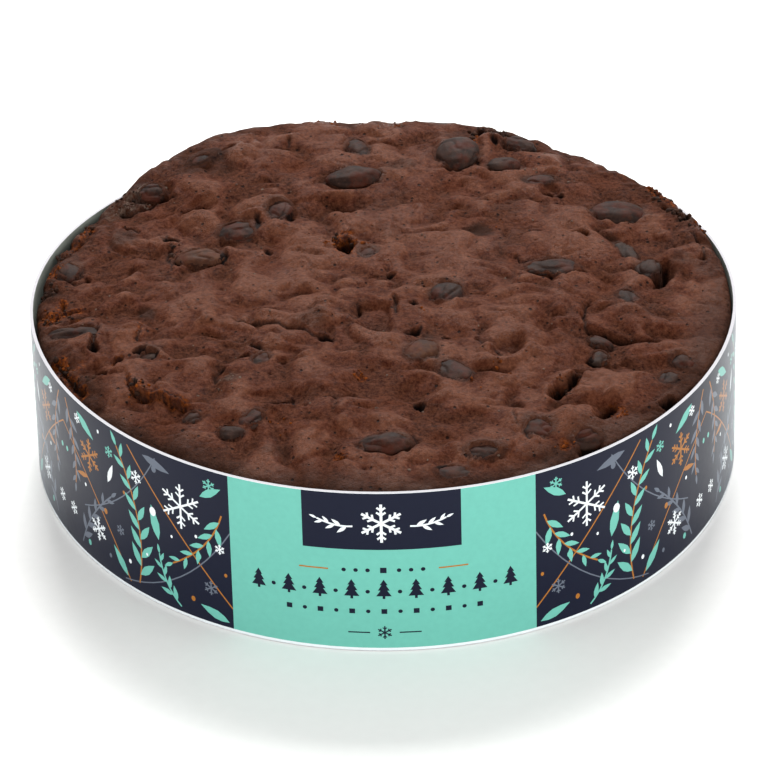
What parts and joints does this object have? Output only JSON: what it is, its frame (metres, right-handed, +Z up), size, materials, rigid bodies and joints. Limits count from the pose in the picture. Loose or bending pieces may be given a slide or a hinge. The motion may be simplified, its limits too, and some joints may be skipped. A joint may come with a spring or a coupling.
{
  "type": "fruit cake",
  "caption": "Whole round un-iced fruit cake with a low domed top and bare raisins, held in a printed open card band.",
  "frame": {"origin": "centre of the cake's flat underside, level with the card band's lower edge", "axes": "+Z up out of the cake's top, -Y towards the front of the card band's print, +X to the right of that front"},
  "size_m": [0.1694, 0.1708, 0.0514],
  "materials": {
    "cake": "satin",
    "card_band": "gloss",
    "raisin": "satin",
    "sultana": "satin",
    "currant": "satin"
  },
  "bodies": {
    "root": {"cake": "cake", "card_band": "card_band", "raisin_01": "raisin", "raisin_02": "raisin", "raisin_03": "raisin", "raisin_04": "raisin", "raisin_05": "raisin", "raisin_06": "raisin", "raisin_07": "raisin", "raisin_08": "raisin", "raisin_09": "raisin", "raisin_10": "raisin", "raisin_11": "raisin", "raisin_12": "raisin", "raisin_13": "raisin", "raisin_14": "raisin", "raisin_15": "raisin", "raisin_16": "raisin", "raisin_17": "raisin", "raisin_18": "raisin", "raisin_19": "raisin", "raisin_20": "raisin", "raisin_21": "raisin", "raisin_22": "raisin", "raisin_23": "raisin", "raisin_24": "raisin", "raisin_25": "raisin", "raisin_26": "raisin", "raisin_27": "raisin", "raisin_28": "raisin", "raisin_29": "raisin", "raisin_30": "raisin", "sultana_01": "sultana", "sultana_02": "sultana", "currant_01": "currant", "currant_02": "currant", "currant_03": "currant", "currant_04": "currant"}
  },
  "joints": []
}
